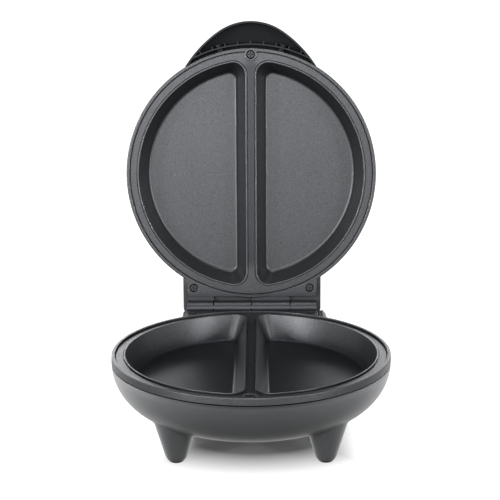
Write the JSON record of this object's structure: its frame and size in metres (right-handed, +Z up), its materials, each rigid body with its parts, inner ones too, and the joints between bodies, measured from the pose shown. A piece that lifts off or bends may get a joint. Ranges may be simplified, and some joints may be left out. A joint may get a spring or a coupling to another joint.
{
  "type": "omelette maker",
  "caption": "Countertop omelette maker with a hinged lid: cast plates with half-moon wells, round shells on short conical legs, and a hollow crescent handle.",
  "frame": {"origin": "on the surface the maker stands on, at the middle of the open maker's width and depth", "axes": "+X to the right seen from the front, +Y to the back where the hinge is, +Z up"},
  "size_m": [0.2254, 0.2962, 0.3286],
  "materials": {
    "shell": "satin metallic grey moulding",
    "plate": "dark grey non-stick coating on a casting",
    "handle_plastic": "black heat-resistant moulding",
    "foot_rubber": "matt black pads",
    "gland_rubber": "black flexible bush",
    "screw": "zinc-plated steel",
    "pin_steel": "ground steel pin",
    "element": "heat-tinted steel sheath",
    "sheet": "bright pressed sheet",
    "ceramic": "cream ceramic and plated metal",
    "block_plastic": "natural white nylon",
    "brass": "plain brass",
    "red_lens": "red clear plastic",
    "green_lens": "green clear plastic",
    "lamp_glass": "clear glass"
  },
  "bodies": {
    "base": {"base_shell": "shell", "foot_pads": "foot_rubber", "lower_plate": "plate", "lower_plate_screws": "screw", "lower_element": "element", "lower_element_clips": "sheet", "lower_clip_screws": "screw", "lower_heat_shield": "sheet", "lower_shield_screws": "screw", "thermostat": "ceramic", "thermostat_screws": "screw", "thermal_fuse": "ceramic", "fuse_strap": "sheet", "terminal_block": "block_plastic", "terminal_screws": "brass", "terminal_block_screws": "screw", "cord_gland": "gland_rubber", "hinge_pin": "pin_steel"},
    "lid": {"lid_shell": "shell", "handle": "handle_plastic", "handle_screws": "screw", "upper_plate": "plate", "upper_plate_screws": "screw", "upper_element": "element", "upper_element_clips": "sheet", "upper_clip_screws": "screw", "upper_heat_shield": "sheet", "upper_shield_screws": "screw", "thermal_cutout": "ceramic", "cutout_screws": "screw", "power_lens": "red_lens", "ready_lens": "green_lens", "lamp_carrier": "block_plastic", "neon_lamps": "lamp_glass", "lamp_screws": "screw"}
  },
  "joints": [
    {"name": "lid_hinge", "type": "hinge", "parent": "base", "child": "lid", "pos_m": [0, 0.08612, 0.072], "axis": [1, 0, 0], "range_deg": [0, 94.7]}
  ]
}
